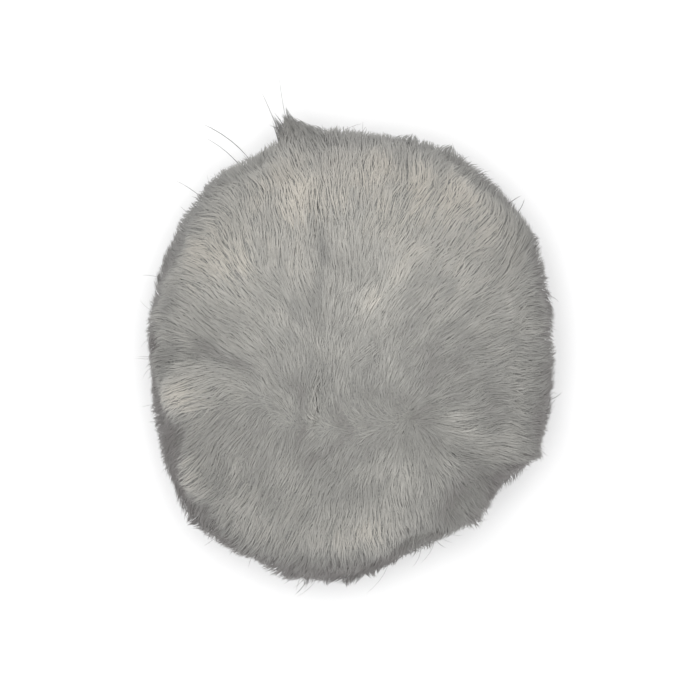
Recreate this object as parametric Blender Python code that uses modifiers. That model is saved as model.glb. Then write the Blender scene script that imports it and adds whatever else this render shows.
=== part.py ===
"""A craft pom-pom: a ball of cut acrylic fibres, bound round the middle by a thread.

Every fibre runs through the binding and fans out on both sides of it. So the pile is two fans that are
joined at a tight waist and meet face to face along the parting. Units are metres and +Z is up. The ball rests
on the flat spot at the origin, +X crosses the parting and +Y lies along it.
"""

import math

import bmesh
import bpy
from mathutils import Vector, noise

# The ball of fibres
BALL_WIDTH = 0.0476
BALL_LENGTH = 0.0527
BALL_HEIGHT = 0.0455
SHOULDER_POWER = 2.3  # 2 gives an ellipsoid, and more gives fuller shoulders
REST_SPOT_RADIUS = 0.0095

# The parting, and the waist that the thread holds
PARTING_X = -0.0042
PARTING_GAP = 0.0003
PARTING_MOUTH = 0.0022
PARTING_MOUTH_DEPTH = 0.0014
PARTING_WANDER = 0.0034
PARTING_WANDER_SPACING = 0.021
PARTING_WANDER_REACH = 0.0120  # how far from the parting the pile strays with it
WAIST_RADIUS = 0.0038
WAIST_BLEND = 0.0120  # how far from the parting the waist's round form gives way to the ball's
CLEARANCE = 0.0003

# The binding thread
THREAD_DIAMETER = 0.0007
THREAD_TURNS = 2
THREAD_TAIL = 0.0014
THREAD_TAIL_TURN = math.radians(55)

# Relief of the trimmed surface: soft lumps, combed locks and cut ends
LUMP_HEIGHT = 0.0010
LUMP_SPACING = 0.012
LOCK_HEIGHT = 0.0005
LOCK_WIDTH = 0.0046
LOCK_LENGTH = 0.0110
LOCK_SWIRL = math.radians(60)
LOCK_FADE_FROM = 0.35  # locks rise between these distances from the X axis, as shares of the ball's radius
LOCK_FADE_TO = 0.95
RAGGED_HEIGHT = 0.0006
RAGGED_SPACING = 0.0010
RELIEF_FADE = 0.0050
NOISE_MEAN_SIZE = 0.25
NOISE_CELL_MEAN = 0.5

# Where the parting lies open on the upper face, as turns round the X axis from +Y towards +Z
OPEN_PARTING_FROM = math.radians(46)
OPEN_PARTING_TO = math.radians(110)
OPEN_PARTING_EASE = math.radians(14)
CLOSED_PARTING_SHARE = 0.2

# Tufts as (azimuth, elevation, spread, lift): degrees seen from the ball's middle, then metres.
# Azimuth turns from +X to +Y, and a negative lift is a hollow.
TUFTS = {
    "wisp_base": (101, 5, 9, 0.0010),
    "right_flat": (12, 0, 24, -0.0009),
    "lower_left_shoulder": (222, 4, 15, 0.0006),
    "left_round_tuft": (190, 34, 9, 0.0012),
    "small_round_tuft": (217, 29, 7, 0.0010),
    "right_lock": (-30, 24, 10, 0.0013),
    "lower_right_bite": (-57, 1, 23, -0.0044),
    "lower_left_flat": (247, 0, 14, -0.0009),
    "lower_right_hollow": (-47, 31, 9, -0.0018),
    "swirl_hollow": (-43, 60, 8, -0.0011),
    "back_upper_tuft": (60, -32, 14, 0.0011),
    "back_left_tuft": (160, -38, 12, 0.0009),
    "back_lower_hollow": (250, -30, 11, -0.0012),
    "back_right_tuft": (-15, -34, 12, 0.0010),
}

# Creases as (azimuth, elevation) of both ends, then spread in degrees and depth in metres
CREASES = {
    "over_left_tuft": ((174, 52), (181, 28), 4.0, 0.0014),
    "under_left_tuft": ((200, 52), (203, 24), 4.0, 0.0011),
    "right_lock_edge": ((-43, 58), (-38, 14), 4.2, 0.0013),
    "back_crease": ((95, -20), (120, -48), 4.5, 0.0012),
    "side_crease": ((20, -6), (34, -40), 4.5, 0.0011),
}

# Wisps are locks of longer fibres that stand out of the rim: azimuth and elevation in degrees, radius at the
# surface, length past the surface, and lean in degrees of azimuth
WISPS = {
    "long_wisp": (102.5, 3, 0.0021, 0.0029, 5),
    "lock_end": (-29, 14, 0.0020, 0.0014, -5),
    "ragged_low_right": (-47, 4, 0.0019, 0.0012, 3),
    "ragged_bottom": (-91, 2, 0.0019, 0.0009, -3),
}
WISP_ROOT = 0.0040
WISP_POINTS = 8
WISP_TIP_SHARE = 0.08

# Fineness of the meshes
ROUND_STEPS = 84
ARC_STEPS = 25
WALL_STEPS = 3
THREAD_STEPS_PER_TURN = 24
BEVEL_RESOLUTION = 2
MERGE = 0.00001

ACRYLIC_GREY = (0.355, 0.349, 0.328, 1.0)
ACRYLIC_ROUGHNESS = 0.9
THREAD_GREY = (0.52, 0.51, 0.48, 1.0)
THREAD_ROUGHNESS = 0.8

half_width = BALL_WIDTH / 2
half_length = BALL_LENGTH / 2
half_height = BALL_HEIGHT / 2
middle_height = half_height * (1 - (REST_SPOT_RADIUS / half_width) ** SHOULDER_POWER) ** (1 / SHOULDER_POWER)
middle = Vector((0, 0, middle_height))
thread_pitch = THREAD_DIAMETER + CLEARANCE
thread_turn = THREAD_TURNS * math.tau + 2 * THREAD_TAIL_TURN
thread_line_radius = WAIST_RADIUS + CLEARANCE + THREAD_DIAMETER / 2
seat_half_width = (thread_pitch * thread_turn / math.tau + THREAD_DIAMETER) / 2 + CLEARANCE
seat_radius = thread_line_radius + THREAD_TAIL + THREAD_DIAMETER / 2 + CLEARANCE


def smooth_step(low, high, value):
    """0 below low, 1 above high, and a smooth rise between them."""
    share = min(1.0, max(0.0, (value - low) / (high - low)))
    return share * share * (3 - 2 * share)


def toward(azimuth, elevation):
    """The unit vector from the ball's middle at these angles in degrees."""
    turn, rise = math.radians(azimuth), math.radians(elevation)
    return Vector((math.cos(rise) * math.cos(turn), math.cos(rise) * math.sin(turn), math.sin(rise)))


def plain_radius(unit):
    """How far the ball's plain surface is from its middle along a unit vector."""
    shares = (abs(unit.x) / half_width, abs(unit.y) / half_length, abs(unit.z) / half_height)
    return sum(share**SHOULDER_POWER for share in shares) ** (-1 / SHOULDER_POWER)


def tuft_relief(unit):
    """What the named tufts, hollows and creases add to the surface there."""
    lift = 0.0
    for azimuth, elevation, spread, height in TUFTS.values():
        angle = unit.angle(toward(azimuth, elevation))
        lift += height * math.exp(-((angle / math.radians(spread)) ** 2))
    for start, end, spread, depth in CREASES.values():
        first, last = toward(*start), toward(*end)
        along = (unit - first).dot(last - first) / (last - first).length_squared
        nearest = first.lerp(last, min(1.0, max(0.0, along))).normalized()
        lift -= depth * math.exp(-((unit.angle(nearest) / math.radians(spread)) ** 2))
    return lift


def fibre_relief(unit):
    """Lumps, locks that fan out from the parting towards both ends of the X axis, and ragged cut ends."""
    point = unit * half_length
    lump = LUMP_HEIGHT * noise.noise(point / LUMP_SPACING)
    around = math.atan2(unit.z, unit.y) + LOCK_SWIRL * unit.x
    combed = Vector((
        unit.x * half_length / LOCK_LENGTH,
        math.cos(around) * half_length / LOCK_WIDTH,
        math.sin(around) * half_length / LOCK_WIDTH,
    ))
    off_pole = smooth_step(LOCK_FADE_FROM, LOCK_FADE_TO, math.hypot(unit.y, unit.z))
    lock = LOCK_HEIGHT * off_pole * (1 - abs(noise.noise(combed)) / NOISE_MEAN_SIZE)
    ragged = RAGGED_HEIGHT * (noise.cell(point / RAGGED_SPACING) - NOISE_CELL_MEAN)
    return lump + lock + ragged


def relief(unit):
    """Height of the finished surface over the plain one, fading out towards the rest spot."""
    above_rest = middle_height + plain_radius(unit) * unit.z
    return (tuft_relief(unit) + fibre_relief(unit)) * smooth_step(0, RELIEF_FADE, above_rest)


def pile_profile():
    """Half the section of the pile as it is turned round the X axis, from the -X end to the +X end.

    Both fans are drawn: the outer arc, the parting's wall, the thread's seat, and the waist between them.
    """
    lip = PARTING_MOUTH / 2

    def arc(first, last):
        """Points on the turned ball between two angles from +X."""
        points = []
        for step in range(ARC_STEPS + 1):
            angle = first + (last - first) * step / ARC_STEPS
            x = half_width * math.cos(angle)
            share = max(0.0, 1 - (abs(x) / half_width) ** SHOULDER_POWER)
            points.append((x, half_length * share ** (1 / SHOULDER_POWER)))
        return points

    def wall(side, surface):
        """Points down one wall of the parting, from under the mouth to the waist."""
        x = PARTING_X + side * PARTING_GAP / 2
        top = surface - PARTING_MOUTH_DEPTH
        bottom = seat_radius + seat_half_width
        points = [(x, top + (bottom - top) * step / WALL_STEPS) for step in range(WALL_STEPS + 1)]
        seat_x = PARTING_X + side * seat_half_width
        return points + [(seat_x, seat_radius), (seat_x, WAIST_RADIUS)]

    left = arc(math.pi, math.acos((PARTING_X - lip) / half_width))
    right = arc(math.acos((PARTING_X + lip) / half_width), 0)
    left_wall = wall(-1, left[-1][1])
    right_wall = wall(1, right[0][1])
    return left + left_wall + right_wall[::-1] + right


def turned(name, profile, steps):
    """A mesh object that is a profile of (x, radius) turned once round the X axis."""
    mesh = bpy.data.meshes.new(name)
    edges = [(index, index + 1) for index in range(len(profile) - 1)]
    mesh.from_pydata([(x, 0, radius) for x, radius in profile], edges, [])
    shape = bpy.data.objects.new(name, mesh)
    helpers.objects.link(shape)
    screw = shape.modifiers.new("turn", "SCREW")
    screw.axis = "X"
    screw.steps = steps
    screw.render_steps = steps
    screw.use_merge_vertices = True
    screw.merge_threshold = MERGE
    return applied(shape, name)


def applied(shape, name):
    """The evaluated shape as a plain mesh object of the pom-pom; the first shape is removed."""
    bpy.context.view_layer.update()
    graph = bpy.context.evaluated_depsgraph_get()
    mesh = bpy.data.meshes.new_from_object(shape.evaluated_get(graph))
    result = bpy.data.objects.new(name, mesh)
    result.matrix_world = shape.matrix_world
    bpy.data.objects.remove(shape)
    result.name = name
    pom_pom.objects.link(result)
    return result


def parting_opening(around):
    """How far the parting's mouth is open there, from the closed share to 1."""
    rise = smooth_step(OPEN_PARTING_FROM - OPEN_PARTING_EASE, OPEN_PARTING_FROM + OPEN_PARTING_EASE, around)
    fall = smooth_step(OPEN_PARTING_TO - OPEN_PARTING_EASE, OPEN_PARTING_TO + OPEN_PARTING_EASE, around)
    return CLOSED_PARTING_SHARE + (1 - CLOSED_PARTING_SHARE) * (rise - fall)


def parting_wander(around):
    """How far the parting strays along X there."""
    ring = Vector((0, math.cos(around), math.sin(around))) * half_length
    return PARTING_WANDER * noise.noise(ring / PARTING_WANDER_SPACING)


def shape_pile(point):
    """Moves one point of the turned body to its place in the real pile, measured from the ball's middle."""
    radius = math.hypot(point.y, point.z)
    if radius < MERGE:
        unit = Vector((math.copysign(1, point.x), 0, 0))
        return unit * (half_width + relief(unit))
    around = math.atan2(point.z, point.y)
    across = Vector((0, math.cos(around), math.sin(around)))
    from_parting = abs(point.x - PARTING_X)
    wall_share = smooth_step(seat_radius, half_length - PARTING_MOUTH_DEPTH, radius)
    outer_share = max(wall_share, smooth_step(0, 1, (from_parting - seat_half_width) / WAIST_BLEND))
    squeeze = 1 + outer_share * (plain_radius(across) / half_length - 1)
    plain = Vector((point.x, 0, 0)) + across * radius * squeeze
    placed = plain + plain.normalized() * relief(plain.normalized()) * outer_share
    lip = PARTING_MOUTH / 2
    if from_parting < lip + MERGE:
        opened = PARTING_GAP / 2 + (lip - PARTING_GAP / 2) * parting_opening(around)
        side = math.copysign(1, point.x - PARTING_X)
        placed.x = PARTING_X + side * (opened if from_parting > lip - MERGE else from_parting)
    near_share = 1 - smooth_step(0, PARTING_WANDER_REACH, from_parting)
    placed.x += parting_wander(around) * wall_share * near_share
    return placed


def cut_rest_spot(mesh):
    """Cuts the pile at the floor and closes it with flat faces, where its own weight presses the fibres."""
    work = bmesh.new()
    work.from_mesh(mesh)
    cut = bmesh.ops.bisect_plane(
        work,
        geom=work.verts[:] + work.edges[:] + work.faces[:],
        dist=MERGE,
        plane_co=(0, 0, 0),
        plane_no=(0, 0, 1),
        clear_inner=True,
    )
    rim = [item for item in cut["geom_cut"] if isinstance(item, bmesh.types.BMEdge)]
    bmesh.ops.edgeloop_fill(work, edges=rim)
    bmesh.ops.recalc_face_normals(work, faces=work.faces[:])
    work.to_mesh(mesh)
    work.free()


def wisp(name, azimuth, elevation, surface_radius, length, lean):
    """A curved lock that tapers to a point, from inside the pile to past its surface."""
    start = toward(azimuth, elevation)
    surface = plain_radius(start) + relief(start)
    path = bpy.data.curves.new(name, "CURVE")
    path.dimensions = "3D"
    path.bevel_depth = surface_radius
    path.bevel_resolution = BEVEL_RESOLUTION
    path.use_fill_caps = True
    spline = path.splines.new("POLY")
    spline.points.add(WISP_POINTS - 1)
    for index, spot in enumerate(spline.points):
        past = -WISP_ROOT + (WISP_ROOT + length) * index / (WISP_POINTS - 1)
        share = max(0.0, past / length)
        place = middle + toward(azimuth + lean * share * share, elevation) * (surface + past)
        spot.co = (*place, 1)
        spot.radius = max(WISP_TIP_SHARE, 1 - share)
    shape = bpy.data.objects.new(name, path)
    helpers.objects.link(shape)
    lock = applied(shape, name)
    weld(lock.data)
    return lock


def weld(mesh):
    """Joins the caps of a mesh made from a curve to its sides."""
    work = bmesh.new()
    work.from_mesh(mesh)
    bmesh.ops.remove_doubles(work, verts=work.verts[:], dist=MERGE)
    bmesh.ops.recalc_face_normals(work, faces=work.faces[:])
    work.to_mesh(mesh)
    work.free()


def unite(body, extra):
    """Joins another mesh object to the body, as one solid, and moves it to the helpers."""
    for collection in extra.users_collection:
        collection.objects.unlink(extra)
    helpers.objects.link(extra)
    extra.hide_render = True
    extra.display_type = "WIRE"
    join = body.modifiers.new("join_" + extra.name, "BOOLEAN")
    join.operation = "UNION"
    join.object = extra


def fibre_pile():
    """The whole pile of fibres as one solid: two fans, the waist between them, and the wisps on the rim."""
    pile = turned("fibre_pile", pile_profile(), ROUND_STEPS)
    for vertex in pile.data.vertices:
        vertex.co = middle + shape_pile(vertex.co)
    cut_rest_spot(pile.data)
    for name, sizes in WISPS.items():
        unite(pile, wisp(name, *sizes))
    return pile


def binding_thread():
    """The thread that is wound tight round the waist, with both ends lifting off it."""
    path = bpy.data.curves.new("binding_thread", "CURVE")
    path.dimensions = "3D"
    path.bevel_depth = THREAD_DIAMETER / 2
    path.bevel_resolution = BEVEL_RESOLUTION
    path.use_fill_caps = True
    steps = round(THREAD_STEPS_PER_TURN * thread_turn / math.tau)
    spline = path.splines.new("POLY")
    spline.points.add(steps)
    for index, spot in enumerate(spline.points):
        turn = thread_turn * index / steps
        from_end = min(turn, thread_turn - turn)
        lifted = max(0.0, 1 - from_end / THREAD_TAIL_TURN) ** 2
        radius = thread_line_radius + THREAD_TAIL * lifted
        x = PARTING_X + thread_pitch * (turn - thread_turn / 2) / math.tau
        spot.co = (x, radius * math.cos(turn), middle_height + radius * math.sin(turn), 1)
    thread = bpy.data.objects.new("binding_thread", path)
    pom_pom.objects.link(thread)
    return thread


def finish_of(name, colour, roughness):
    """A matt fibre finish."""
    material = bpy.data.materials.new(name)
    material.use_nodes = True
    shader = material.node_tree.nodes["Principled BSDF"]
    shader.inputs["Base Color"].default_value = colour
    shader.inputs["Roughness"].default_value = roughness
    shader.inputs["Metallic"].default_value = 0
    material.diffuse_color = colour
    return material


def new_collection(name):
    collection = bpy.data.collections.new(name)
    bpy.context.scene.collection.children.link(collection)
    return collection


for old in list(bpy.data.objects):
    bpy.data.objects.remove(old, do_unlink=True)

pom_pom = new_collection("pom_pom")
helpers = new_collection("helpers")

pile = fibre_pile()
pile.data.materials.append(finish_of("grey_acrylic_fibre", ACRYLIC_GREY, ACRYLIC_ROUGHNESS))
pile.data.shade_smooth()

thread = binding_thread()
thread.data.materials.append(finish_of("binding_thread", THREAD_GREY, THREAD_ROUGHNESS))
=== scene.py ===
import math

import bpy
import numpy as np
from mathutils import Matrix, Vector
from mathutils.bvhtree import BVHTree
from mathutils.kdtree import KDTree


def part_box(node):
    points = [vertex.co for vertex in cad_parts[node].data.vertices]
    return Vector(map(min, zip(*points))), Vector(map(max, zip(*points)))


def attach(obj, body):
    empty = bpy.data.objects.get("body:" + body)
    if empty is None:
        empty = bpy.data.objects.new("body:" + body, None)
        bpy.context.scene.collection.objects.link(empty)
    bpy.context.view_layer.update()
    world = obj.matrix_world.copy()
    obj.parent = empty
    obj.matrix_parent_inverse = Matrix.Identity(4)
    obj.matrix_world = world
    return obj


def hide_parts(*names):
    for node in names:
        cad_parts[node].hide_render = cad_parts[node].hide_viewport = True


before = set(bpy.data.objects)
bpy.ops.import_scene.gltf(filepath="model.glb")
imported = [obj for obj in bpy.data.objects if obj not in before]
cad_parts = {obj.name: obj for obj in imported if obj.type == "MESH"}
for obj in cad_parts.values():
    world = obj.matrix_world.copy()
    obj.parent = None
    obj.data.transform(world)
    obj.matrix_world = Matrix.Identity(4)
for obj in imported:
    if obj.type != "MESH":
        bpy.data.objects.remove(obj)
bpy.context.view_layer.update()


# The view and the light
# The ball lies on a white table and is seen from straight above through a long lens, with the long wisp at
# the top. The light is even: a pale room all round, and one soft lamp straight overhead.

LENS_MM = 200
SENSOR_MM = 36
BALL_SHARE_OF_FRAME = 0.68
TABLE_WIDTH = 3.0
LAMP_WIDTH = 0.22
LAMP_PLACE = (-0.012, 0.012, 0.68)
LAMP_WATTS = 3.0
ROOM_STRENGTH = 0.69
ROOM_WHITE = "#FBFBFC"
TABLE_WHITE = "#F8F8F8"

ball_low, ball_high = (Vector(corner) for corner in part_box("fibre_pile"))
ball_middle = (ball_low + ball_high) / 2
ball_length = ball_high.y - ball_low.y


def linear(hex_colour):
    """The linear RGBA of an sRGB hex colour."""
    shares = [int(hex_colour[place:place + 2], 16) / 255 for place in (1, 3, 5)]
    return (*(s / 12.92 if s <= 0.04045 else ((s + 0.055) / 1.055) ** 2.4 for s in shares), 1.0)


def new_material(name):
    """A material with only a Principled shader, and its node tree and shader."""
    material = bpy.data.materials.new(name)
    material.use_nodes = True
    return material, material.node_tree, material.node_tree.nodes["Principled BSDF"]


camera_data = bpy.data.cameras.new("camera")
camera_data.lens = LENS_MM
camera_data.sensor_width = SENSOR_MM
camera = bpy.data.objects.new("camera", camera_data)
camera_height = ball_length / BALL_SHARE_OF_FRAME * LENS_MM / SENSOR_MM
camera.location = (ball_middle.x, ball_middle.y, ball_middle.z + camera_height)
bpy.context.scene.collection.objects.link(camera)
bpy.context.scene.camera = camera

bpy.ops.object.select_all(action="DESELECT")
bpy.ops.mesh.primitive_plane_add(size=TABLE_WIDTH, location=(0, 0, 0))
table = bpy.context.object
table.name = "table"
# Matt white laminate: an even ground without a gloss
white_laminate, tree, shader = new_material("white laminate")
shader.inputs["Base Color"].default_value = linear(TABLE_WHITE)
shader.inputs["Roughness"].default_value = 0.7
shader.inputs["Specular IOR Level"].default_value = 0.2
table.data.materials.append(white_laminate)

lamp_data = bpy.data.lights.new("soft_lamp", "AREA")
lamp_data.shape = "DISK"
lamp_data.size = LAMP_WIDTH
lamp_data.energy = LAMP_WATTS
lamp = bpy.data.objects.new("soft_lamp", lamp_data)
lamp.location = LAMP_PLACE
lamp.rotation_euler = (ball_middle - lamp.location).to_track_quat("-Z", "Y").to_euler()
bpy.context.scene.collection.objects.link(lamp)

room = bpy.data.worlds.new("room")
room.use_nodes = True
room.node_tree.nodes["Background"].inputs["Color"].default_value = linear(ROOM_WHITE)
room.node_tree.nodes["Background"].inputs["Strength"].default_value = ROOM_STRENGTH
bpy.context.scene.world = room
bpy.context.scene.view_settings.view_transform = "Standard"


# The binding thread
# Spun polyester thread, wound twice round the waist of the pile and pulled tight. It lies deep in the
# parting, where the fibres hide it.

MM = 0.001
THREAD_GREY = "#C2C0BB"
THREAD_SHADE = "#8E8C88"
THREAD_TWIST = 0.55 * MM


def add(tree, kind, settings=None, **links):
    """Adds a node. Settings are properties, or sockets by name or number; links feed sockets by name."""
    node = tree.nodes.new(kind)
    for name, value in (settings or {}).items():
        if isinstance(name, str) and hasattr(node, name):
            setattr(node, name, value)
        else:
            node.inputs[name].default_value = value
    for name, source in links.items():
        socket = node.inputs[int(name[1:])] if name[1:].isdigit() else node.inputs[name.replace("_", " ")]
        tree.links.new(source, socket)
    return node


# Twisted spun polyester: matt, with slanting ridges where its strands lie round each other, and painted
# shade in the grooves between them
twisted_polyester, tree, shader = new_material("twisted polyester thread")
place = add(tree, "ShaderNodeTexCoord")
twist = add(
    tree,
    "ShaderNodeTexWave",
    {"bands_direction": "DIAGONAL", "Scale": 1 / THREAD_TWIST / math.tau, "Distortion": 0.6, "Detail": 2.0},
    Vector=place.outputs["Object"],
)
ply = add(tree, "ShaderNodeValToRGB", Fac=twist.outputs["Fac"])
ply.color_ramp.elements[0].color = linear(THREAD_SHADE)
ply.color_ramp.elements[1].color = linear(THREAD_GREY)
ridge = add(tree, "ShaderNodeBump", {"Strength": 0.5, "Distance": 0.1 * MM}, Height=twist.outputs["Fac"])
tree.links.new(ply.outputs["Color"], shader.inputs["Base Color"])
tree.links.new(ridge.outputs["Normal"], shader.inputs["Normal"])
shader.inputs["Roughness"].default_value = 0.75
shader.inputs["Sheen Weight"].default_value = 0.2
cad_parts["binding_thread"].data.materials.clear()
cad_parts["binding_thread"].data.materials.append(twisted_polyester)


# The pressed fibres
# Under their loose ends the fibres are packed so tight that they read as one soft mass. It has the solid's
# own form with its waist and parting, and stops where the loose ends begin.

LOOSE_DEPTH = 0.8 * MM
MERGE = 0.001 * MM
# The packed fibres' greys are darker than the loose ends': painted shade of the depth they lie at
PRESSED_SHADED_DARK = "#878785"
PRESSED_SHADED_PALE = "#A6A59F"
PRESSED_GRAIN = 0.3 * MM  # a fibre's end is 0.03 mm across, and is drawn ten times as coarse so that it shows

# The parting's mouth, which is filled and welded shut under the loose ends
MOUTH_MIDDLE = -4.2 * MM
MOUTH_BAND = 5.0 * MM
MOUTH_FILL = 1.7 * MM
MOUTH_WELD = 0.8 * MM

# The map of the solid's surface: its step, then how many steps the parting's slot and the wisps are bridged
# over, and how far the surface may stray from its neighbours there
SURFACE_STEP = math.radians(2)
SLOT_NEIGHBOURS = (-2, -1, 1, 2)
SLOT_EASE = 0.4 * MM
WISP_REACH = 4
WISP_EASE = 0.4 * MM

# Random waves over the ball: how many are summed, and how much they differ in length
WAVE_COUNT = 12
WAVE_SPREAD = (0.6, 1.6)
LUMP_WAVES = 16
LUMP_SEED = 5
LUMP_MM = 0.08
EDGE_RISE_SQUARED = 0.004  # the least height of a place over the ball's middle plane, so that the rim has one

solid_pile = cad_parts["fibre_pile"]
pile_middle = Vector((0, 0, (ball_low.z + ball_high.z) / 2))
pile_radius = ball_length / 2

# Folds and ridges of the face: both ends and the half width in mm as seen from above, the height in mm and
# the change of tone, where 0.1 is 8 steps of sRGB grey. That change is partly the locks' own tone, and partly
# painted shade in the creases and recesses and painted light on the ridges and tufts.
FACE_FOLDS = (
    (-4.8, 17.0, -3.9, 14.8, 0.8, -0.30, -0.20),
    (-3.6, 13.6, -3.3, 10.9, 0.8, -0.45, -0.30),
    (-3.6, 9.6, -4.3, 7.4, 0.8, -0.35, -0.24),
    (-4.3, 6.1, -4.0, 2.3, 0.8, -0.15, -0.12),
    (-6.4, 12.5, -6.4, 9.6, 1.4, 0.20, 0.14),
    (-4.0, 1.8, -4.2, -1.0, 0.9, 0.10, 0.08),
    (-5.8, -3.5, -6.1, -9.4, 0.7, -0.15, -0.17),
    (-4.5, -3.5, -4.8, -8.7, 0.8, 0.10, 0.17),
    (-4.5, -11.8, 2.2, -7.2, 0.8, -0.10, -0.13),
    (-11.0, -5.6, -8.5, -6.6, 1.2, -0.20, -0.08),
    (-18.0, 1.6, -13.0, -0.7, 0.9, -0.40, -0.17),
    (-23.4, 1.5, -18.0, 0.4, 0.9, -0.80, -0.20),
    (-20.4, -4.2, -18.3, -4.0, 3.1, 0.90, 0.40),
    (-23.8, -8.0, -19.8, -9.2, 1.2, -0.50, -0.06),
    (-18.2, -9.9, -15.8, -10.5, 0.8, -0.35, -0.12),
    (-14.8, -11.4, -14.5, -13.6, 0.6, -0.35, -0.15),
    (-15.0, -14.6, -16.6, -17.0, 0.7, -0.40, -0.12),
    (-17.4, -12.6, -17.0, -13.4, 2.3, 0.90, 0.42),
    (-13.3, -12.0, -13.2, -15.4, 0.6, 0.20, 0.14),
    (-11.1, -14.7, -11.0, -18.7, 0.6, 0.20, 0.12),
    (-8.5, 25.5, -6.0, 17.0, 2.5, 0.25, 0.22),
    (2.4, 6.6, 7.0, 11.4, 2.0, 0.30, 0.15),
    (-19.5, 12.5, -13.0, 9.8, 2.8, 0.00, 0.20),
    (-14.0, 10.0, 12.0, 17.0, 7.0, 0.00, 0.06),
    (2.5, 24.5, 3.5, 17.5, 1.1, 0.15, 0.09),
    (5.4, 24.0, 6.0, 18.5, 0.8, -0.25, -0.10),
    (7.4, 23.5, 7.6, 18.0, 1.1, 0.15, 0.10),
    (9.8, 22.0, 9.4, 18.0, 0.8, -0.25, -0.10),
    (12.0, 20.5, 11.0, 16.0, 1.1, 0.15, 0.08),
    (9.5, 1.0, 8.8, -8.0, 1.6, -0.30, -0.07),
    (12.0, 3.0, 15.0, -3.0, 4.2, 0.00, -0.08),
    (-4.0, -4.0, 11.0, -5.0, 5.0, 0.00, -0.07),
    (11.5, -8.2, 20.5, -10.2, 2.1, 0.90, 0.03),
    (12.0, -6.4, 22.6, -5.6, 0.9, 0.20, 0.18),
    (12.5, -8.0, 22.0, -8.4, 0.8, 0.20, 0.16),
    (12.5, -7.2, 22.0, -7.0, 0.5, -0.20, -0.15),
    (13.5, -9.1, 21.5, -9.8, 0.5, -0.20, -0.13),
    (9.8, -10.0, 18.5, -12.6, 0.8, -0.40, -0.12),
    (13.0, -14.0, 17.0, -15.5, 2.6, -0.60, -0.10),
    (15.0, -16.5, 18.5, -15.0, 2.5, 0.30, 0.00),
    (9.5, -20.0, 12.5, -15.5, 2.4, 0.00, -0.20),
    (8.2, -22.5, 9.1, -25.2, 2.6, -1.20, 0.14),
    (14.2, -18.4, 15.8, -20.6, 2.6, 1.20, 0.00),
    (6.0, -13.0, 2.8, -19.5, 2.8, 0.30, 0.17),
    (-15.0, -17.0, 2.0, -19.8, 3.8, 0.00, 0.26),
    (-22.0, 8.0, -22.6, -3.0, 3.2, 0.00, 0.27),
)


def normalised(vectors):
    """The vectors at a length of 1."""
    return vectors / np.maximum(np.linalg.norm(vectors, axis=-1, keepdims=True), 1e-9)


def on_face(x, y):
    """The unit vector towards a point of the face, given in mm from the ball's middle as seen from above."""
    half = (ball_high - ball_low) / 2 / MM
    rise = math.sqrt(max(EDGE_RISE_SQUARED, 1 - (x / half.x) ** 2 - (y / half.y) ** 2))
    return np.array(Vector((x, y, rise * half.z)).normalized())


def waves(ways, count, seed):
    """A smooth random value about 0 for each unit vector, made of plane waves."""
    rng = np.random.default_rng(seed)
    total = np.zeros(ways.shape[:-1])
    for _ in range(WAVE_COUNT):
        crest = normalised(rng.normal(size=3)) * count * rng.uniform(*WAVE_SPREAD)
        total += np.sin(ways @ crest * math.pi + rng.uniform(0, math.tau))
    return total / math.sqrt(WAVE_COUNT)


def nearest_on(ways, start, end):
    """The point of the straight line between two places that is nearest to each unit vector."""
    span = end - start
    return start + ((ways - start) @ span / max(span @ span, 1e-9)).clip(0, 1)[..., None] * span


def folds(ways):
    """How far the face stands out at unit vectors, in metres, and its change of tone: partly its own, partly
    painted shade and light.
    """
    height, tone = np.zeros(ways.shape[:-1]), np.zeros(ways.shape[:-1])
    for x, y, end_x, end_y, width, rise, painted_light_and_tone in FACE_FOLDS:
        gap = np.linalg.norm(ways - nearest_on(ways, on_face(x, y), on_face(end_x, end_y)), axis=-1)
        near = np.exp(-((gap * pile_radius / MM / width) ** 2))
        height += near * rise * MM
        tone += near * painted_light_and_tone
    return height + waves(ways, LUMP_WAVES, LUMP_SEED) * LUMP_MM * MM, tone


def surface_map():
    """The solid's radius from its middle, by rise and turn, without the parting's slot and the wisps."""
    corners = [vertex.co for vertex in solid_pile.data.vertices]
    solid = BVHTree.FromPolygons(corners, [tuple(face.vertices) for face in solid_pile.data.polygons])
    rises = np.arange(-math.pi / 2, math.pi / 2 + SURFACE_STEP / 2, SURFACE_STEP)
    turns = np.arange(0, math.tau, SURFACE_STEP)
    radii = np.empty((len(rises), len(turns)))
    for row, rise in enumerate(rises):
        for column, turn in enumerate(turns):
            way = Vector((math.cos(rise) * math.cos(turn), math.cos(rise) * math.sin(turn), math.sin(rise)))
            hit = solid.ray_cast(pile_middle + way * ball_length, -way)[0]
            radii[row, column] = (hit - pile_middle).length
    near = np.stack([np.roll(radii, shift, 1) for shift in SLOT_NEIGHBOURS])
    radii = np.maximum(radii, np.median(near, 0) - SLOT_EASE)
    tall = np.pad(radii, ((WISP_REACH, WISP_REACH), (0, 0)), mode="edge")
    near = [
        np.roll(tall[row:row + len(rises)], turn, 1)
        for row in range(0, 2 * WISP_REACH + 1, 2)
        for turn in range(-WISP_REACH, WISP_REACH + 1)
    ]
    radii = np.minimum(radii, np.median(np.stack(near), 0) + WISP_EASE)
    radii = (np.roll(radii, 1, 1) + 2 * radii + np.roll(radii, -1, 1)) / 4
    radii[1:-1] = (radii[:-2] + 2 * radii[1:-1] + radii[2:]) / 4
    return radii


surface_radii = surface_map()


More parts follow.
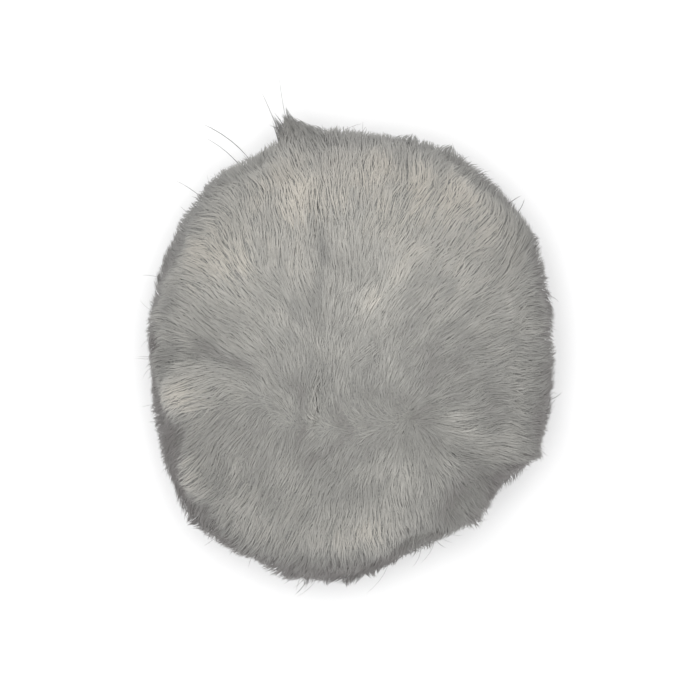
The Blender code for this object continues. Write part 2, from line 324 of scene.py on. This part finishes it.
def surface(ways):
    """The ball's radius along unit vectors, read between the points of the map."""
    row = (np.arcsin(ways[..., 2].clip(-1, 1)) + math.pi / 2) / SURFACE_STEP
    column = np.arctan2(ways[..., 1], ways[..., 0]) % math.tau / SURFACE_STEP
    rows, columns = surface_radii.shape
    low = row.astype(int).clip(0, rows - 2)
    left = column.astype(int) % columns
    up, right = row - low, column - column.astype(int)
    below = surface_radii[low, left] * (1 - right) + surface_radii[low, (left + 1) % columns] * right
    above = surface_radii[low + 1, left] * (1 - right) + surface_radii[low + 1, (left + 1) % columns] * right
    return below * (1 - up) + above * up


bpy.ops.object.select_all(action="DESELECT")
bpy.ops.mesh.primitive_cube_add(size=1)
pressed = bpy.context.object
pressed.name = "pressed_fibres"
pressed.data = solid_pile.data.copy()
pressed.data.name = "pressed_fibres"
bpy.ops.object.mode_set(mode="EDIT")
bpy.ops.mesh.select_all(action="SELECT")
bpy.ops.mesh.remove_doubles(threshold=MERGE)
bpy.ops.mesh.normals_make_consistent(inside=False)
bpy.ops.mesh.select_mode(type="VERT")
bpy.ops.mesh.select_all(action="DESELECT")
bpy.ops.object.mode_set(mode="OBJECT")
for vertex in pressed.data.vertices:
    outward = vertex.co - pile_middle
    way = np.array(outward.normalized())
    reach = float(surface(way) + folds(way)[0]) - LOOSE_DEPTH
    in_mouth = abs(vertex.co.x - MOUTH_MIDDLE) < MOUTH_BAND and outward.length > reach - MOUTH_FILL
    if in_mouth or outward.length > reach:
        vertex.co = pile_middle + outward.normalized() * reach
    vertex.select = in_mouth
bpy.ops.object.mode_set(mode="EDIT")
bpy.ops.mesh.remove_doubles(threshold=MOUTH_WELD)  # the lips of the parting's slot meet under the loose ends
bpy.ops.object.mode_set(mode="OBJECT")
bpy.ops.object.shade_smooth()
pressed.data.normals_split_custom_set_from_vertices([
    (vertex.co - pile_middle).normalized() for vertex in pressed.data.vertices
])

# Packed acrylic fibre: dull, with the fine grain of many fibres' ends side by side, in greys darkened by
# painted shade of its depth
acrylic_mass, tree, shader = new_material("pressed acrylic fibre")
place = add(tree, "ShaderNodeTexCoord")
grain = add(
    tree,
    "ShaderNodeTexNoise",
    {"Scale": 1 / PRESSED_GRAIN, "Detail": 3.0, "Roughness": 0.6},
    Vector=place.outputs["Object"],
)
shade = add(tree, "ShaderNodeValToRGB", Fac=grain.outputs["Fac"])
shade.color_ramp.elements[0].position = 0.35
shade.color_ramp.elements[0].color = linear(PRESSED_SHADED_DARK)
shade.color_ramp.elements[1].position = 0.65
shade.color_ramp.elements[1].color = linear(PRESSED_SHADED_PALE)
fuzz = add(tree, "ShaderNodeBump", {"Strength": 0.6, "Distance": PRESSED_GRAIN}, Height=grain.outputs["Fac"])
tree.links.new(shade.outputs["Color"], shader.inputs["Base Color"])
tree.links.new(fuzz.outputs["Normal"], shader.inputs["Normal"])
shader.inputs["Roughness"].default_value = 0.9
shader.inputs["Specular IOR Level"].default_value = 0.2
pressed.data.materials.clear()
pressed.data.materials.append(acrylic_mass)
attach(pressed, "root")
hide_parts("fibre_pile")


# The loose ends
# The outer millimetres of the fibres: fine straight acrylic, cut to a ball with shears and then combed by
# use into soft locks. A real fibre is 0.03 mm thick, and these are drawn four times as coarse, so that they
# show.

STRAND_WIDTH = 0.115 * MM
STRAND_WIDTHS = (0.75, 1.25)  # the least and the greatest share of that
STRAND_THICKNESS_SHARE = 0.6
STRAND_ROUND = 0.4  # how far light reads each strand as a rod of its own, where 0 is the ball's own curve
STRAND_RINGS = 5
SCATTER_RING = 3  # the ring that the even scatter places, so that no crown is left bare
STRAND_TAPER = 0.4  # how much thinner it is at the tip than at its thickest
STRAND_ROOT = -0.7  # how far it tapers towards its root, where -1 is as thin as the tip
STRAND_ROLL = 0.35
STRAND_STIFFNESS = 0.6  # the share of its last heading that it keeps at each ring
STRAND_LENGTH = 5.4 * MM
STRAND_LENGTHS = (0.75, 1.1)
LIE_FACE = 0.86  # how much of a strand's length runs along the surface, on the face and at the sides
LIE_SIDE = 0.76
LIE_FROM, LIE_BLEND = 0.2, 0.5  # the sine of the elevation where the one starts, and how far it is blended in
LIE_UPRIGHT = 0.3  # the share that is left of it where the fibres part and stand up
DEEPEST = 4.2 * MM
ROOT_CURVE = 1.5  # the power of the curve that dives to the root
TIP_REACH = 0.25 * MM
FLOOR_CLEARANCE = 0.04 * MM

# Regions of loose ends: lowest and highest elevation in degrees, number of strands, and how many times as
# wide as STRAND_WIDTH they are
REGIONS = {
    "face_fibres": (50, 90, 10200, 0.95),
    "shoulder_fibres": (22, 50, 10900, 1.0),
    "rim_fibres": (-8, 22, 10900, 1.1),
    "flank_fibres": (-40, -8, 10600, 1.15),
    "under_fibres": (-90, -40, 7400, 1.15),
}

# Locks, and the fine locks within them: how many, then how much each differs from its neighbours in the way
# it points, its curl, its height, its length and its tone. The blur is how ragged the borders between them
# are, and the pull how far strands are drawn to the middle of their lock.
LOCKS = 1300
LOCK_TURN = math.radians(9)
LOCK_CURL = math.radians(12)
LOCK_RISE = 0.10 * MM
LOCK_LENGTHS = (0.9, 1.15)
LOCK_TONE = 0.035
LOCK_BLUR_MM = 0.4
LOCK_PULL = 0.16
LOCK_PULLS = (0.4, 1.2)
FINE_LOCKS = 9500
FINE_TURN = math.radians(6)
FINE_CURL = math.radians(8)
FINE_RISE = 0.035 * MM
FINE_LENGTHS = (0.9, 1.1)
FINE_TONE = 0.028
FINE_BLUR_MM = 0.25
FINE_PULL = 0.25
FINE_PULLS = (0.2, 1.3)
PULL_CURVE = 1.4
STRAND_TURN = math.radians(5)
STRAND_CURL = math.radians(9)
STRAND_RISE = 0.04 * MM
FLYAWAY_RISE = 0.08 * MM
STRAND_TONE = 0.022
SEED = 8

# How the face is combed: places in mm from the ball's middle as seen from above, and the way that the tips
# point there, in degrees anticlockwise from +X.
FACE_COMBING = (
    (-6, 24, 100), (0, 24, 95), (6, 23, 85), (11, 20, 60), (-11, 17, 65), (-6, 18, 80), (-2, 17, 105),
    (3, 18, 90), (8, 16, 70), (14, 13, 45), (-14, 13, 75), (-9, 12, 60), (-5, 13, 85), (-1, 13, 95),
    (4, 12, 75), (9, 12, 55), (-19, 9, 148), (-15, 9, 125), (-10, 8, 142), (-6, 8, 100), (-2, 8, 80),
    (2, 8, 65), (7, 8, 56), (12, 8, 45), (18, 5, 40), (-21, 4, 165), (-16, 4, 135), (-10, 4, 118),
    (-6, 3, 93), (0, 4, 66), (6, 3, 75), (12, 3, 58), (17, 0, 45), (21, 0, 25), (-14, 0, 140),
    (-19, 0, 188), (-9, 0, 100), (-5, -1, 78), (0, -1, 70), (6, 0, 71), (12, -2, 48), (-21, -3, 212),
    (-18.5, -3, 215), (-17, -4, 228), (-20, -6, 238), (-15, -6, 240), (-12, -3, 128), (-9, -4, 108),
    (-6, -4, 82), (-2, -4, 80), (3, -4, 95), (8, -4, 66), (14, -5, 33), (19, -5, 28), (-10.5, -7, 262),
    (-8, -6, 105), (-6, -6.5, 84), (-3, -7, 80), (0.5, -6, 130), (4.5, -6, 138), (2, -7.7, 178),
    (5.5, -7.9, 190), (9, -6.6, 41), (12, -8, 18), (16, -9, 24), (20, -9, 15), (14, -11.5, 8),
    (19, -12, -8), (-3, -9.5, 218), (1, -9.4, 213), (5, -9.6, 222), (9.6, -10.6, 300), (-15, -9, 255),
    (-12, -10, 270), (-8, -9.5, 284), (-5.5, -10.5, 262), (-18, -13, 240), (-15, -12, 272), (-12, -13, 275),
    (-9, -14, 268), (-5, -14, 235), (-1, -13, 222), (3, -13, 240), (7, -12, 255), (9, -16, 262),
    (-15, -16, 250), (-10, -18, 270), (-5, -18, 238), (0, -18, 250), (4, -18, 266), (8, -19, 275),
    (12, -15, 300), (15, -17, 310), (-11, -21, 245), (-4, -22, 262), (3, -22, 272),
)
COMB_REACH = 2.7
COMB_SIDE_WEIGHT = 0.12
UNDER_PARTING = np.array(((-0.16, -0.3, -1.0), (-0.16, 0.3, -1.0)))  # the line that they part from below
UNDER_REACH = 20.0
SWIRL_TURN = math.radians(50)
SWIRL_WAVES = 2.4
SWIRL_SEED = 3

FIBRE_TONES = ("#827E7C", "#9D9C98", "#BAB8B2", "#D6D0C5")
FIBRE_TONE_PLACES = (0.35, 0.65)  # where the two middle ones are, from 0 to 1
MEAN_TONE = 0.50
# Painted light and shade in the fibres' tone: painted light towards the top and both ends of the face, and
# painted shade over the crown and in a band round the rim
TOP_PAINTED_LIGHT = 0.20
ENDS_PAINTED_LIGHT = 0.20
CROWN_SHADE = 0.08
RIM_SHADE = 0.50
RIM_FROM, RIM_TO = 0.56, 0.16  # sines of the elevations between which the rim darkens
RIM_TILT = 0.03  # how much lower that is at the top than at the middle
RIM_END = -1.1  # the sine at which the shade has gone again
PATCH_TONE = 0.05
PATCH_WAVES = 9
PATCH_SEED = 11
SIDE_TONE = 0.008
# Painted shade towards each strand's root, where it lies deep among the others
ROOT_SHADE = 0.92
ROOT_SHADE_REACH = 0.6  # the share of a strand's length that is shaded
UV_MARGIN = 0.02

dice = np.random.default_rng(SEED)

comb_places = np.array([on_face(x, y) for x, y, _ in FACE_COMBING])
comb_aims = np.array([
    (math.cos(math.radians(turn)), math.sin(math.radians(turn)), 0) for *_, turn in FACE_COMBING
])
comb_aims[:, 2] = -(comb_aims * comb_places).sum(1) / comb_places[:, 2]
comb_aims = normalised(comb_aims)


def flow(ways):
    """How the fibres are combed at unit vectors: a tangent, short where they part and stand upright."""
    gap = np.linalg.norm(ways[:, None] - comb_places[None], axis=-1) * pile_radius / MM
    weight = np.exp(-((gap / COMB_REACH) ** 2))
    down = normalised(np.array((0, 0, -1.0)) + ways * ways[:, 2:])
    away = ways - normalised(nearest_on(ways, *UNDER_PARTING))
    from_under = np.linalg.norm(away, axis=-1, keepdims=True) * pile_radius / MM / UNDER_REACH
    up = normalised(away) * np.exp(-(from_under**2))
    side = down * (1 - np.exp(-(from_under**2))) + up
    swirl = waves(ways, SWIRL_WAVES, SWIRL_SEED)[:, None] * SWIRL_TURN
    side = side * np.cos(swirl) + np.cross(ways, side) * np.sin(swirl)
    total = weight @ comb_aims + side * COMB_SIDE_WEIGHT
    total -= ways * (total * ways).sum(-1, keepdims=True)
    return total / (weight.sum(-1, keepdims=True) + COMB_SIDE_WEIGHT)


def tone_at(ways):
    """How light the fibres are at unit vectors, from 0 to 1: painted light at the top and ends, painted shade
    at the crown and rim.
    """
    rim = ((RIM_FROM - RIM_TILT * ways[:, 1] - ways[:, 2]) / (RIM_FROM - RIM_TO)).clip(0, 1)
    rim = np.minimum(rim, ((ways[:, 2] - RIM_END) / (RIM_TO - RIM_END)).clip(0, 1))
    tones = MEAN_TONE + TOP_PAINTED_LIGHT * ways[:, 1] + ENDS_PAINTED_LIGHT * ways[:, 1] ** 2
    tones -= CROWN_SHADE * ways[:, 2].clip(0) ** 2
    tones -= RIM_SHADE * rim * rim * (3 - 2 * rim)
    return tones + folds(ways)[1] + PATCH_TONE * waves(ways, PATCH_WAVES, PATCH_SEED)


def comb(places, turn, curl, rise, length):
    """Paths of strands, STRAND_RINGS points each, from deep in the pile to the surface."""
    steps = STRAND_RINGS - 1
    face_share = ((places[:, 2] - LIE_FROM) / LIE_BLEND).clip(0, 1)
    lie = LIE_SIDE + (LIE_FACE - LIE_SIDE) * face_share
    flat = np.linalg.norm(flow(places), axis=-1)
    lie = lie * (LIE_UPRIGHT + (1 - LIE_UPRIGHT) * flat)
    stride = length * lie / steps
    root_depth = np.minimum(length * np.sqrt(1 - lie**2), DEEPEST)
    ways = [None] * STRAND_RINGS
    ways[SCATTER_RING] = places
    inward, outward = range(SCATTER_RING - 1, -1, -1), range(SCATTER_RING + 1, STRAND_RINGS)
    for direction, rings in ((-1, inward), (1, outward)):
        way, last = places, None
        for ring in rings:
            heading = normalised(flow(way))
            angle = (turn + curl * (ring / steps - 0.5))[:, None]
            heading = heading * np.cos(angle) + np.cross(way, heading) * np.sin(angle)
            if last is not None:
                turned_back = (heading * last).sum(-1) < 0
                heading = normalised(last * STRAND_STIFFNESS + heading * np.where(turned_back, 0, 1)[:, None])
            way = normalised(way + direction * heading * (stride / surface(way))[:, None])
            last = heading
            ways[ring] = way
    ways = np.stack(ways, 1)
    share = np.linspace(0, 1, STRAND_RINGS)[None]
    depth = root_depth[:, None] * (1 - share) ** ROOT_CURVE - (TIP_REACH + rise[:, None]) * share
    paths = ways * (surface(ways) + folds(ways)[0] - depth)[..., None]
    paths[..., 2] = np.maximum(paths[..., 2], FLOOR_CLEARANCE - pile_middle.z)
    return paths


def gathered(paths, guides, nearest, pull):
    """Draws strands together towards the guide that each is nearest to, more and more towards the tip."""
    share = np.linspace(0, 1, STRAND_RINGS)[None, :, None] ** PULL_CURVE
    return paths + (guides[nearest] - paths) * share * pull[:, None, None]


def scattered(count, low=-90, high=90):
    """Random unit vectors, evenly over the sphere between two elevations in degrees."""
    z = dice.uniform(math.sin(math.radians(low)), math.sin(math.radians(high)), count)
    turn = dice.uniform(0, math.tau, count)
    flat = np.sqrt(1 - z**2)
    return np.stack((flat * np.cos(turn), flat * np.sin(turn), z), 1)


def nearest_of(ways, others, blur):
    """The number of the nearest of the other unit vectors, found from a place that is blurred by mm."""
    tree_of_others = KDTree(len(others))
    for number, other in enumerate(others):
        tree_of_others.insert(other, number)
    tree_of_others.balance()
    moved = ways + dice.normal(size=ways.shape) * blur * MM / pile_radius
    return np.array([tree_of_others.find(way)[1] for way in moved])


def model_strand(rings):
    """One straight fibre, one unit long along Z: a three-sided rod with both ends drawn to a point."""
    bpy.ops.object.select_all(action="DESELECT")
    bpy.ops.mesh.primitive_cylinder_add(
        vertices=3, radius=1, depth=1, end_fill_type="NOTHING", location=(0, 0, 0.5)
    )
    rod = bpy.context.object
    bpy.ops.object.transform_apply(location=True)
    bpy.ops.object.mode_set(mode="EDIT")
    bpy.ops.mesh.select_mode(type="EDGE")
    bpy.ops.mesh.select_all(action="DESELECT")
    bpy.ops.object.mode_set(mode="OBJECT")
    for edge in rod.data.edges:
        first, last = (rod.data.vertices[number].co for number in edge.vertices)
        edge.select = abs(first.z - last.z) > 0.5
    bpy.ops.object.mode_set(mode="EDIT")
    bpy.ops.mesh.subdivide(number_cuts=rings - 2)
    bpy.ops.mesh.select_mode(type="VERT")
    for end in (0, 1):
        bpy.ops.mesh.select_all(action="DESELECT")
        bpy.ops.object.mode_set(mode="OBJECT")
        for vertex in rod.data.vertices:
            vertex.select = abs(vertex.co.z - end) < 0.01
        bpy.ops.object.mode_set(mode="EDIT")
        bpy.ops.mesh.merge(type="CENTER")
    bpy.ops.mesh.select_all(action="SELECT")
    bpy.ops.mesh.normals_make_consistent(inside=False)
    bpy.ops.object.mode_set(mode="OBJECT")
    return rod


def plant(name, rod, paths, widths, tones, material):
    """A piece of one copy of the rod for each path, bent along it, with its tone and its length as UV.

    Its normals lean towards the ball's own, so that light falls on the coat as a soft whole.
    """
    corners = np.array([vertex.co for vertex in rod.data.vertices])
    ring = np.rint(corners[:, 2] * (paths.shape[1] - 1)).astype(int)
    forward = normalised(np.gradient(paths, axis=1))
    outward = normalised(paths) + dice.normal(size=(len(paths), 1, 3)) * STRAND_ROLL
    side = normalised(np.cross(outward, forward))
    above = np.cross(forward, side)
    thickness = 1 - STRAND_TAPER * np.linspace(STRAND_ROOT, 1, paths.shape[1]) ** 2
    across = (widths[:, None] / 2 * thickness)[:, ring, None]
    places = paths[:, ring] + across * (
        side[:, ring] * corners[None, :, :1] + above[:, ring] * corners[None, :, 1:2] * STRAND_THICKNESS_SHARE
    )
    bulge = side[:, ring] * corners[None, :, :1] + above[:, ring] * corners[None, :, 1:2]
    soft_normals = normalised(bulge * STRAND_ROUND + normalised(paths)[:, ring] * (1 - STRAND_ROUND))
    places = places.reshape(-1, 3) + np.array(pile_middle)
    faces = [tuple(face.vertices) for face in rod.data.polygons]
    starts = np.cumsum([0] + [len(face) for face in faces])
    flat_faces = np.concatenate(faces)
    count = len(paths)
    mesh = bpy.data.meshes.new(name)
    mesh.vertices.add(len(places))
    mesh.vertices.foreach_set("co", places.ravel())
    loops = (flat_faces[None, :] + np.arange(count)[:, None] * len(corners)).ravel()
    mesh.loops.add(len(loops))
    mesh.loops.foreach_set("vertex_index", loops.astype(np.int32))
    loop_starts = (starts[None, :-1] + np.arange(count)[:, None] * starts[-1]).ravel()
    mesh.polygons.add(len(loop_starts))
    mesh.polygons.foreach_set("loop_start", loop_starts.astype(np.int32))
    mesh.update(calc_edges=True)
    uv = np.empty((count, len(corners), 2))
    uv[..., 0] = tones[:, None] + corners[None, :, 0] * SIDE_TONE
    uv[..., 1] = corners[None, :, 2]
    uv = uv * (1 - 2 * UV_MARGIN) + UV_MARGIN
    layer = mesh.uv_layers.new(name="OFBake")
    layer.uv.foreach_set("vector", uv[:, flat_faces].astype(np.float32).ravel())
    mesh.materials.append(material)
    mesh.shade_smooth()
    mesh.normals_split_custom_set_from_vertices(soft_normals.reshape(-1, 3))
    piece = bpy.data.objects.new(name, mesh)
    bpy.context.scene.collection.objects.link(piece)
    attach(piece, "root")
    return piece


# Cut acrylic fibre: matt with a faint sheen, in greys that differ from lock to lock and carry painted light
# and shade, and with painted shade that darkens it a little towards the root
acrylic_fibre, tree, shader = new_material("cut acrylic fibre")
strand_map = add(tree, "ShaderNodeUVMap", {"uv_map": "OFBake"})
parts = add(tree, "ShaderNodeSeparateXYZ", Vector=strand_map.outputs["UV"])
tone = add(tree, "ShaderNodeValToRGB", Fac=parts.outputs["X"])
ramp = tone.color_ramp.elements
ramp[0].color = linear(FIBRE_TONES[0])
ramp[1].color = linear(FIBRE_TONES[-1])
for position, hex_colour in zip(FIBRE_TONE_PLACES, FIBRE_TONES[1:3]):
    ramp.new(position).color = linear(hex_colour)
shadow = add(
    tree,
    "ShaderNodeMapRange",
    {"interpolation_type": "SMOOTHSTEP", "From Max": ROOT_SHADE_REACH, "To Min": ROOT_SHADE},
    Value=parts.outputs["Y"],
)
shaded = add(
    tree,
    "ShaderNodeMix",
    {"data_type": "RGBA", "blend_type": "MULTIPLY", 0: 1.0},
    _6=tone.outputs["Color"],
    _7=shadow.outputs["Result"],
)
tree.links.new(shaded.outputs[2], shader.inputs["Base Color"])
shader.inputs["Roughness"].default_value = 0.7
shader.inputs["Specular IOR Level"].default_value = 0.22
shader.inputs["Sheen Weight"].default_value = 0.12
shader.inputs["Sheen Roughness"].default_value = 0.5

rod = model_strand(STRAND_RINGS)

lock_ways = scattered(LOCKS)
lock_tones = dice.normal(size=LOCKS) * LOCK_TONE
lock_turn = dice.normal(size=LOCKS) * LOCK_TURN
lock_curl = dice.normal(size=LOCKS) * LOCK_CURL
lock_rise = dice.normal(size=LOCKS) * LOCK_RISE
lock_length = STRAND_LENGTH * dice.uniform(*LOCK_LENGTHS, LOCKS)
lock_paths = comb(lock_ways, lock_turn, lock_curl, lock_rise, lock_length)

fine_ways = scattered(FINE_LOCKS)
lock_of = nearest_of(fine_ways, lock_ways, LOCK_BLUR_MM)
fine_tones = lock_tones[lock_of] + dice.normal(size=FINE_LOCKS) * FINE_TONE
fine_turn = lock_turn[lock_of] + dice.normal(size=FINE_LOCKS) * FINE_TURN
fine_curl = lock_curl[lock_of] + dice.normal(size=FINE_LOCKS) * FINE_CURL
fine_rise = lock_rise[lock_of] + dice.normal(size=FINE_LOCKS) * FINE_RISE
fine_length = lock_length[lock_of] * dice.uniform(*FINE_LENGTHS, FINE_LOCKS)
fine_paths = gathered(
    comb(fine_ways, fine_turn, fine_curl, fine_rise, fine_length),
    lock_paths,
    lock_of,
    LOCK_PULL * dice.uniform(*LOCK_PULLS, FINE_LOCKS),
)

for name, (lowest, highest, count, wider) in REGIONS.items():
    ways = scattered(count, lowest, highest)
    fine_of = nearest_of(ways, fine_ways, FINE_BLUR_MM)
    turn = fine_turn[fine_of] + dice.normal(size=count) * STRAND_TURN
    curl = fine_curl[fine_of] + dice.normal(size=count) * STRAND_CURL
    rise = fine_rise[fine_of] + dice.normal(size=count) * STRAND_RISE + dice.exponential(FLYAWAY_RISE, count)
    length = fine_length[fine_of] * dice.uniform(*STRAND_LENGTHS, count)
    paths = comb(ways, turn, curl, rise, length)
    paths = gathered(paths, fine_paths, fine_of, FINE_PULL * dice.uniform(*FINE_PULLS, count))
    tones = tone_at(ways) + fine_tones[fine_of] + dice.normal(size=count) * STRAND_TONE
    widths = STRAND_WIDTH * wider * dice.uniform(*STRAND_WIDTHS, count)
    plant(name, rod, paths, widths, tones.clip(0, 1), acrylic_fibre)


# The wisps
# Fibres that the shears missed and that hold together in pointed locks, which stand out of the round outline.
# They are the same acrylic, and are rooted in the pile as the rest.

WISP_ROOT_DEPTH = 2.2 * MM
WISP_KNEE = 0.35  # the share of its reach at which a fibre of a wisp curves over
WISP_SPREAD = 0.6  # how far its roots are scattered, as a share of its half width
WISP_POINT = 0.6  # how much shorter its outer fibres are than its middle ones
WISP_RAGGED = 0.13  # how much neighbours differ in that
WISP_SHORTEST = 0.1
WISP_LOOSE_MM = 0.13  # how far its tips stray
WISP_SKIN = 0.2 * MM  # how far the shortest ones stand out of the pile
WISP_STRAND_WIDTHS = (0.6, 1.1)

# Each wisp: turn and elevation of its root, then of its tip, in degrees, its reach past the pile and the half
# width of its root in mm, its number of strands and how much darker they are.
WISPS = (
    (103.5, 5, 106.2, 4, 2.9, 2.4, 330, 0.02),
    (101.0, 9, 103.5, 7, 1.4, 2.4, 170, 0.00),
    (106.5, 2, 108.4, 4, 3.6, 1.2, 46, 0.08),
    (104.5, 2, 105.0, 4, 3.5, 1.2, 40, 0.08),
    (105.5, -3, 109.5, 0, 2.6, 1.6, 90, 0.08),
    (-24.0, 30, -27.2, 13, 1.0, 1.5, 170, 0.0),
    (-25.5, 18, -28.6, 10, 1.2, 0.8, 50, 0.02),
    (-33.0, 22, -34.0, 6, 0.1, 2.2, 130, 0.04),
    (-53.0, 8, -53.5, 5, 1.3, 3.0, 150, 0.06),
    (-49.0, 8, -50.5, 5, 1.2, 1.6, 40, 0.06),
    (-58.0, 6, -57.0, 3, 1.1, 1.8, 40, 0.06),
    (-101.0, 6, -102.0, 3, 1.1, 1.0, 16, 0.03),
    (-97.0, 6, -96.5, 3, 0.9, 1.4, 26, 0.03),
    (-92.0, 4, -91.0, 2, 0.8, 1.2, 20, 0.03),
    (-85.0, 4, -84.0, 2, 0.9, 1.6, 40, 0.03),
    (-78.0, 6, -79.0, 3, 0.7, 1.4, 26, 0.03),
    (65.0, 8, 65.0, 4, 1.1, 2.4, 90, 0.02),
    (76.0, 8, 75.0, 4, 0.8, 2.4, 70, 0.02),
    (34.0, 8, 33.0, 5, 0.5, 1.6, 26, 0.02),
    (-134.0, 6, -135.0, 3, 1.1, 2.4, 90, 0.02),
)
SMALL_WISPS = 130
SMALL_WISP_BAND = (-50, 28)  # the elevations between which they are, in degrees
SMALL_WISP_STRANDS = 14
SMALL_WISP_LEAN = 0.07
SMALL_WISP_REACH_MM = (0.15, 0.6)
SMALL_WISP_HALF_WIDTH_MM = (0.9, 1.7)


def towards(turn, rise):
    """The unit vectors at these turns and elevations in degrees."""
    turn, rise = np.radians(turn), np.radians(rise)
    return np.stack((np.cos(rise) * np.cos(turn), np.cos(rise) * np.sin(turn), np.sin(rise)), -1)


def turn_and_rise(way):
    """The turn and the elevation of a unit vector in degrees."""
    return math.degrees(math.atan2(way[1], way[0])), math.degrees(math.asin(way[2]))


def drawn_out(ways, tips, rings):
    """Paths that leave the pile square to it at unit vectors and curve over to their tips."""
    share = np.linspace(0, 1, rings)[None, :, None]
    skin = surface(ways)[:, None]
    roots = ways * (skin - WISP_ROOT_DEPTH)
    knees = ways * (skin + WISP_KNEE * np.maximum(np.linalg.norm(tips, axis=1, keepdims=True) - skin, 0))
    paths = roots[:, None] * (1 - share) ** 2 + 2 * knees[:, None] * share * (1 - share)
    paths += tips[:, None] * share**2
    paths[..., 2] = np.maximum(paths[..., 2], FLOOR_CLEARANCE - pile_middle.z)
    return paths


def wisp(turn, rise, tip_turn, tip_rise, reach, half_width, count):
    """One pointed lock: its middle strands reach its tip, and the outer ones stop short of it on the way."""
    root, tip = towards(turn, rise), towards(tip_turn, tip_rise)
    offset = dice.normal(size=(count, 3)) * half_width * MM / pile_radius * WISP_SPREAD
    ways = normalised(root + offset - root * (offset @ root)[:, None])
    aside = np.linalg.norm(ways - root, axis=1) * pile_radius / MM / half_width
    drawn = (1 - WISP_POINT * aside + dice.normal(size=count) * WISP_RAGGED).clip(WISP_SHORTEST, 1)[:, None]
    skin = surface(ways)[:, None]
    ends = ways * (skin + WISP_SKIN) * (1 - drawn) + tip * (float(surface(tip)) + reach * MM) * drawn
    ends += dice.normal(size=ends.shape) * WISP_LOOSE_MM * MM
    return ways, drawn_out(ways, ends, STRAND_RINGS)


all_paths, all_tones = [], []
for *shape, count, darker in WISPS:
    ways, paths = wisp(*shape, count)
    all_paths.append(paths)
    all_tones.append(tone_at(ways) - darker)
for way in scattered(SMALL_WISPS, *SMALL_WISP_BAND):
    tip = normalised(way + flow(way[None])[0] * SMALL_WISP_LEAN)
    reach, half_width = dice.uniform(*SMALL_WISP_REACH_MM), dice.uniform(*SMALL_WISP_HALF_WIDTH_MM)
    ways, paths = wisp(*turn_and_rise(way), *turn_and_rise(tip), reach, half_width, SMALL_WISP_STRANDS)
    all_paths.append(paths)
    all_tones.append(tone_at(ways))
paths = np.concatenate(all_paths)
tones = np.concatenate(all_tones) + dice.normal(size=len(paths)) * STRAND_TONE
widths = STRAND_WIDTH * dice.uniform(*WISP_STRAND_WIDTHS, len(paths))
plant("wisps", rod, paths, widths, tones.clip(0, 1), acrylic_fibre)
bpy.data.objects.remove(rod)


# The stray hairs
# Single fibres that the shears missed, which stick out further than the wisps. They are the same acrylic, and
# are rooted in the pile as the rest. They too are drawn thicker than they are, so that they show.

# Each stray hair: turn and elevation of its root, then of its tip, in degrees, and its reach in mm past the
# pile
STRAYS = (
    (108, 4, 109, 8, 6.8), (106, 4, 104.6, 5, 7.4), (117, 6, 123, 12, 6.5), (120, 3, 124, 2, 4.6),
    (133, 5, 135, 8, 4.0), (45, 6, 44, 9, 2.0), (41, 5, 43, 2, 1.7), (-101, 4, -104, 8, 2.0),
    (-13, 4, -9, 5, 1.6),
)
STRAY_WIDTH = 0.10 * MM
STRAY_RINGS = 8
STRAY_TONE = 0.05
SMALL_STRAYS = 110
SMALL_STRAY_BAND = (-45, 85)
SMALL_STRAY_REACH_MM = (0.8, 2.4)
SMALL_STRAY_LEAN = (0.03, 0.15)
SMALL_STRAY_SWAY = 0.03
SMALL_STRAY_WIDTH = 0.055 * MM
SMALL_STRAY_WIDTHS = (0.8, 1.2)

small = scattered(SMALL_STRAYS, *SMALL_STRAY_BAND)
stray_ways = np.concatenate((towards(*np.array([stray[:2] for stray in STRAYS], float).T), small))
lean = normalised(flow(small)) * dice.uniform(*SMALL_STRAY_LEAN, (SMALL_STRAYS, 1))
sway = dice.normal(size=small.shape) * SMALL_STRAY_SWAY
stray_tips = np.concatenate((
    towards(*np.array([stray[2:4] for stray in STRAYS], float).T),
    normalised(small + lean + sway),
))
small_reach = dice.uniform(*SMALL_STRAY_REACH_MM, SMALL_STRAYS)
reach = np.concatenate(([stray[4] for stray in STRAYS], small_reach)) * MM
thin_rod = model_strand(STRAY_RINGS)
paths = drawn_out(stray_ways, stray_tips * (surface(stray_tips) + reach)[:, None], STRAY_RINGS)
widths = np.concatenate((
    np.full(len(STRAYS), STRAY_WIDTH),
    SMALL_STRAY_WIDTH * dice.uniform(*SMALL_STRAY_WIDTHS, SMALL_STRAYS),
))
plant("stray_hairs", thin_rod, paths, widths, np.full(len(paths), STRAY_TONE), acrylic_fibre)
bpy.data.objects.remove(thin_rod)
